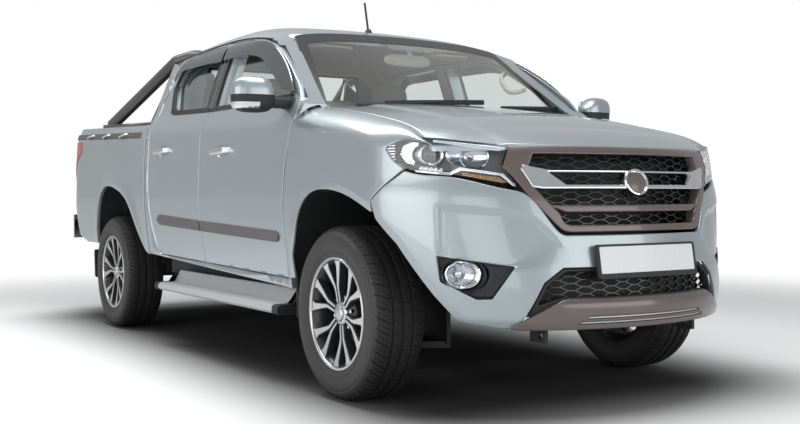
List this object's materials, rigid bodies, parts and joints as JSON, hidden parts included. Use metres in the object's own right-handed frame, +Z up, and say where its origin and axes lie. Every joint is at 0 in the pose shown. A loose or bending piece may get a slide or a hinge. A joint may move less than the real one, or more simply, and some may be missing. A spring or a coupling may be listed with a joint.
{
  "type": "pickup truck",
  "caption": "Double-cab pickup truck with opening doors, hood and tailgate, steered front wheels, a short load bed and a sports bar over it.",
  "frame": {"origin": "on the ground, at the middle of the overall length and width", "axes": "+X forward, +Y to the vehicle's left, +Z up"},
  "size_m": [5.3046, 2.2444, 1.9564],
  "materials": {
    "body_paint": "gloss metallic clear coat",
    "brown_grey_paint": "gloss metallic",
    "dark_satin_paint": "satin",
    "black_chassis_paint": "satin",
    "black_plastic": "grained",
    "interior_plastic": "grained",
    "seat_fabric": "woven",
    "white_plate": "gloss",
    "clear_glass": "polished",
    "tinted_glass": "polished",
    "lamp_lens": "polished",
    "red_lens": "gloss",
    "bright_chrome": "polished",
    "brushed_aluminium": "brushed",
    "cast_metal": "cast",
    "alloy_wheel": "machined and painted",
    "tyre_rubber": "moulded"
  },
  "bodies": {
    "root": {"cab_shell": "body_paint", "fixed_glass": "clear_glass", "cowl_panel": "black_plastic", "front_fenders": "body_paint", "front_bumper": "body_paint", "front_lamps": "lamp_lens", "grille": "brown_grey_paint", "bumper_guard": "black_plastic", "number_plate": "white_plate", "load_bed": "body_paint", "bed_sides": "body_paint", "tail_lamps": "red_lens", "sports_bar": "dark_satin_paint", "rear_bumper": "bright_chrome", "running_boards": "brushed_aluminium", "chassis_frame": "black_chassis_paint", "chassis_fittings": "black_chassis_paint", "engine": "cast_metal", "front_panel": "black_chassis_paint", "front_suspension": "black_chassis_paint", "rear_suspension": "black_chassis_paint", "wheel_liners": "black_plastic", "dashboard": "interior_plastic", "seats": "seat_fabric", "antenna": "black_plastic"},
    "door_fl": {"door_fl": "body_paint", "door_glass_fl": "tinted_glass", "mirror_l": "body_paint"},
    "door_fr": {"door_fr": "body_paint", "door_glass_fr": "tinted_glass", "mirror_r": "body_paint"},
    "door_rl": {"door_rl": "body_paint", "door_glass_rl": "tinted_glass"},
    "door_rr": {"door_rr": "body_paint", "door_glass_rr": "tinted_glass"},
    "hood": {"hood": "body_paint"},
    "tailgate": {"tailgate": "body_paint"},
    "steering_wheel": {"steering_wheel": "interior_plastic"},
    "knuckle_l": {"knuckle_l": "cast_metal"},
    "knuckle_r": {"knuckle_r": "cast_metal"},
    "wheel_fl": {"tyre_fl": "tyre_rubber", "rim_fl": "alloy_wheel"},
    "wheel_fr": {"tyre_fr": "tyre_rubber", "rim_fr": "alloy_wheel"},
    "wheel_rl": {"tyre_rl": "tyre_rubber", "rim_rl": "alloy_wheel"},
    "wheel_rr": {"tyre_rr": "tyre_rubber", "rim_rr": "alloy_wheel"}
  },
  "joints": [
    {"name": "door_fl_hinge", "type": "hinge", "parent": "root", "child": "door_fl", "pos_m": [1.2035, 0.9037, 0.9], "axis": [0, 0, -1], "range_deg": [0, 65]},
    {"name": "door_rl_hinge", "type": "hinge", "parent": "root", "child": "door_rl", "pos_m": [0.1835, 0.9115, 0.9], "axis": [0, 0, -1], "range_deg": [0, 65]},
    {"name": "door_fr_hinge", "type": "hinge", "parent": "root", "child": "door_fr", "pos_m": [1.2035, -0.9037, 0.9], "axis": [0, 0, 1], "range_deg": [0, 65]},
    {"name": "door_rr_hinge", "type": "hinge", "parent": "root", "child": "door_rr", "pos_m": [0.1835, -0.9115, 0.9], "axis": [0, 0, 1], "range_deg": [0, 65]},
    {"name": "hood_hinge", "type": "hinge", "parent": "root", "child": "hood", "pos_m": [1.364, 0, 1.2589], "axis": [0, -1, 0], "range_deg": [0, 50]},
    {"name": "tailgate_hinge", "type": "hinge", "parent": "root", "child": "tailgate", "pos_m": [-2.397, 0, 0.856], "axis": [0, -1, 0], "range_deg": [0, 90]},
    {"name": "steer_right", "type": "hinge", "parent": "root", "child": "knuckle_r", "pos_m": [1.705, -0.68, 0.368], "axis": [0, 0, 1], "range_deg": [-30, 30]},
    {"name": "steer_left", "type": "hinge", "parent": "root", "child": "knuckle_l", "pos_m": [1.705, 0.68, 0.368], "axis": [0, 0, 1], "range_deg": [-30, 30]},
    {"name": "steering_wheel_turn", "type": "hinge", "parent": "root", "child": "steering_wheel", "pos_m": [0.8227, -0.37, 1.1224], "axis": [-0.9104, 0, 0.4138], "range_deg": [-460, 460]},
    {"name": "wheel_fl_spin", "type": "hinge", "parent": "knuckle_l", "child": "wheel_fl", "pos_m": [1.705, 0.784, 0.368], "axis": [0, 1, 0], "continuous": true},
    {"name": "wheel_fr_spin", "type": "hinge", "parent": "knuckle_r", "child": "wheel_fr", "pos_m": [1.705, -0.784, 0.368], "axis": [0, 1, 0], "continuous": true},
    {"name": "wheel_rl_spin", "type": "hinge", "parent": "root", "child": "wheel_rl", "pos_m": [-1.43, 0.784, 0.368], "axis": [0, 1, 0], "continuous": true},
    {"name": "wheel_rr_spin", "type": "hinge", "parent": "root", "child": "wheel_rr", "pos_m": [-1.43, -0.784, 0.368], "axis": [0, 1, 0], "continuous": true}
  ],
  "couplings": [
    {"joint": "steer_left", "follows": "steer_right", "ratio": 1},
    {"joint": "steering_wheel_turn", "follows": "steer_right", "ratio": 15}
  ]
}
